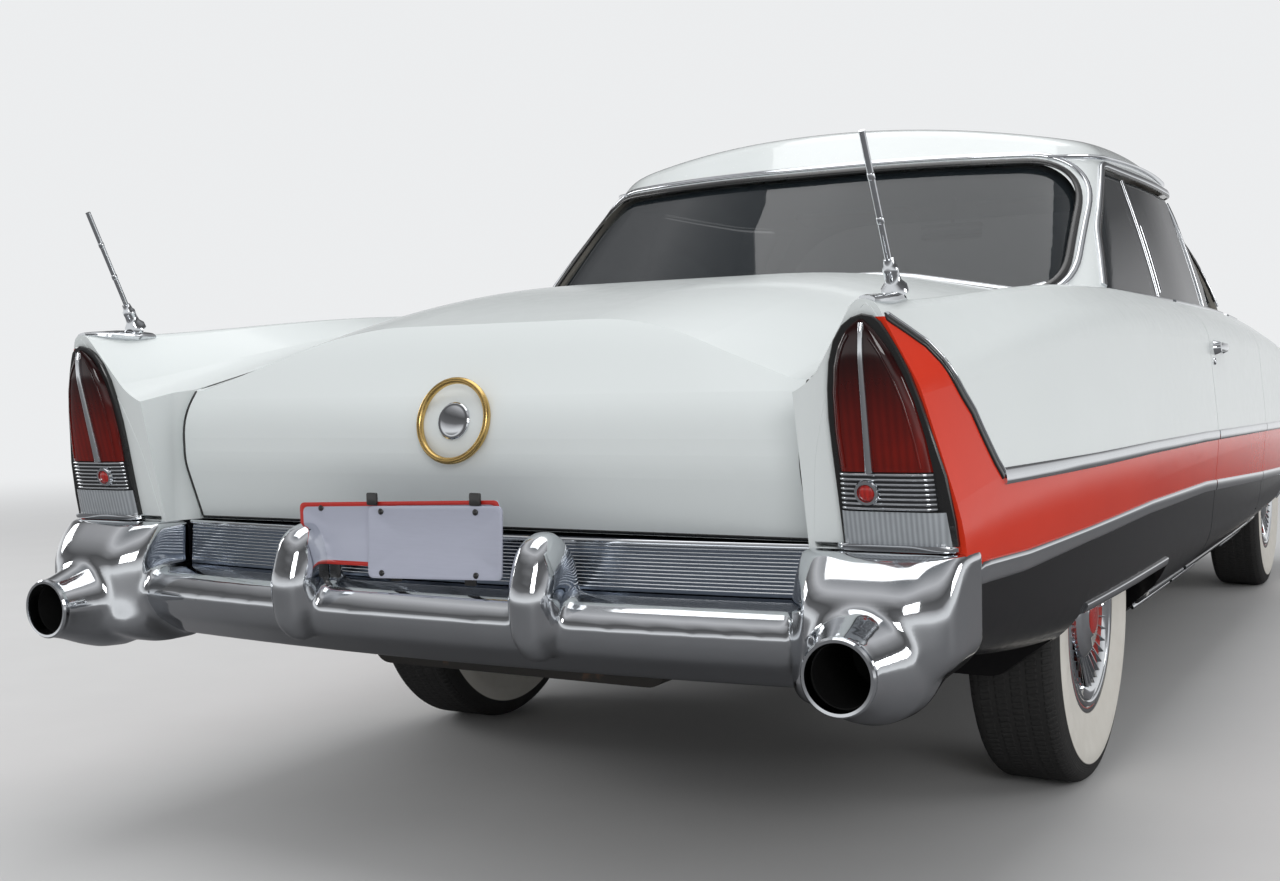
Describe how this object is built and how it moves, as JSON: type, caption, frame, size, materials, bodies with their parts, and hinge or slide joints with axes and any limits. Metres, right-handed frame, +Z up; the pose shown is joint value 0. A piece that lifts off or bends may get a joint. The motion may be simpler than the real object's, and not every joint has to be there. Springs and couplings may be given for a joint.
{
  "type": "two-door hardtop car",
  "caption": "Long 1950s two-door hardtop car with tail fins, tall pointed tail lamps, wraparound glass, heavy chrome bumpers, half fender skirts and wide whitewall tyres.",
  "frame": {"origin": "on the ground under the middle of the overall length and width", "axes": "front of the car faces -Y, +Z up, +X is the car's left side"},
  "size_m": [1.973, 5.5498, 1.608],
  "materials": {
    "body_paint": "gloss white enamel; the scene bands it red and black",
    "black_paint": "gloss black enamel",
    "tinted_glass": "clear safety glass with a faint green tint",
    "red_lens": "moulded red lens",
    "clear_lens": "frosted clear lens",
    "chrome": "bright plate",
    "ribbed_aluminium": "bright anodised",
    "gold_aluminium": "bright anodised",
    "plate_blank": "plain pressed sheet",
    "engine_iron": "painted casting",
    "pipe_steel": "dull heated steel",
    "knuckle_iron": "forging",
    "seat_leather": "white and black panels",
    "dash_paint": "black enamel",
    "wheel_plastic": "ivory",
    "tyre_rubber": "wide white side walls"
  },
  "bodies": {
    "car": {"front_fenders": "body_paint", "cowl": "body_paint", "floor_pan": "black_paint", "rear_body": "body_paint", "roof": "body_paint", "windshield": "tinted_glass", "rear_window": "tinted_glass", "quarter_windows": "tinted_glass", "fender_skirts": "black_paint", "tail_lamps": "red_lens", "reversing_lamps": "clear_lens", "tail_lamp_housings": "chrome", "rear_bumper": "chrome", "rear_grille": "ribbed_aluminium", "licence_plate": "plate_blank", "front_bumper": "chrome", "front_grille": "gold_aluminium", "headlamps": "clear_lens", "frame": "black_paint", "engine_block": "engine_iron", "exhaust_system": "pipe_steel", "fuel_tank": "black_paint", "rear_axle": "black_paint", "front_suspension": "black_paint", "front_seat": "seat_leather", "rear_seat": "seat_leather", "dashboard": "dash_paint", "antennas": "chrome"},
    "hood": {"hood": "body_paint"},
    "trunk_lid": {"trunk_lid": "body_paint"},
    "door_left": {"door_left": "body_paint", "door_glass_left": "tinted_glass"},
    "door_right": {"door_right": "body_paint", "door_glass_right": "tinted_glass"},
    "steering_wheel": {"steering_wheel": "wheel_plastic"},
    "knuckle_left": {"knuckle_left": "knuckle_iron"},
    "knuckle_right": {"knuckle_right": "knuckle_iron"},
    "wheel_front_left": {"tyre_front_left": "tyre_rubber", "wheel_front_left": "chrome"},
    "wheel_front_right": {"tyre_front_right": "tyre_rubber", "wheel_front_right": "chrome"},
    "wheel_rear_left": {"tyre_rear_left": "tyre_rubber", "wheel_rear_left": "chrome"},
    "wheel_rear_right": {"tyre_rear_right": "tyre_rubber", "wheel_rear_right": "chrome"}
  },
  "joints": [
    {"name": "hood_hinge", "type": "hinge", "parent": "car", "child": "hood", "pos_m": [0, -1.0525, 1.0955], "axis": [-1, 0, 0], "range_deg": [0, 50]},
    {"name": "trunk_lid_hinge", "type": "hinge", "parent": "car", "child": "trunk_lid", "pos_m": [0, 1.4475, 1.1427], "axis": [1, 0, 0], "range_deg": [0, 52]},
    {"name": "door_left_hinge", "type": "hinge", "parent": "car", "child": "door_left", "pos_m": [0.991, -0.6345, 0.6], "axis": [0, 0, -1], "range_deg": [0, 65]},
    {"name": "door_right_hinge", "type": "hinge", "parent": "car", "child": "door_right", "pos_m": [-0.991, -0.6345, 0.6], "axis": [0, 0, 1], "range_deg": [0, 65]},
    {"name": "steer_left", "type": "hinge", "parent": "car", "child": "knuckle_left", "pos_m": [0.69, -1.846, 0.364], "axis": [0, 0, 1], "range_deg": [-32, 32]},
    {"name": "steer_right", "type": "hinge", "parent": "car", "child": "knuckle_right", "pos_m": [-0.69, -1.846, 0.364], "axis": [0, 0, 1], "range_deg": [-32, 32]},
    {"name": "steering_wheel_turn", "type": "hinge", "parent": "car", "child": "steering_wheel", "pos_m": [0.37, -0.31516, 0.87359], "axis": [0, -0.921, -0.3896], "range_deg": [-640, 640]},
    {"name": "spin_front_left", "type": "hinge", "parent": "knuckle_left", "child": "wheel_front_left", "pos_m": [0.762, -1.846, 0.364], "axis": [1, 0, 0], "continuous": true},
    {"name": "spin_front_right", "type": "hinge", "parent": "knuckle_right", "child": "wheel_front_right", "pos_m": [-0.762, -1.846, 0.364], "axis": [1, 0, 0], "continuous": true},
    {"name": "spin_rear_left", "type": "hinge", "parent": "car", "child": "wheel_rear_left", "pos_m": [0.7735, 1.38, 0.364], "axis": [1, 0, 0], "continuous": true},
    {"name": "spin_rear_right", "type": "hinge", "parent": "car", "child": "wheel_rear_right", "pos_m": [-0.7735, 1.38, 0.364], "axis": [1, 0, 0], "continuous": true}
  ],
  "couplings": [
    {"joint": "steer_right", "follows": "steer_left", "ratio": 1},
    {"joint": "steering_wheel_turn", "follows": "steer_left", "ratio": -20}
  ]
}
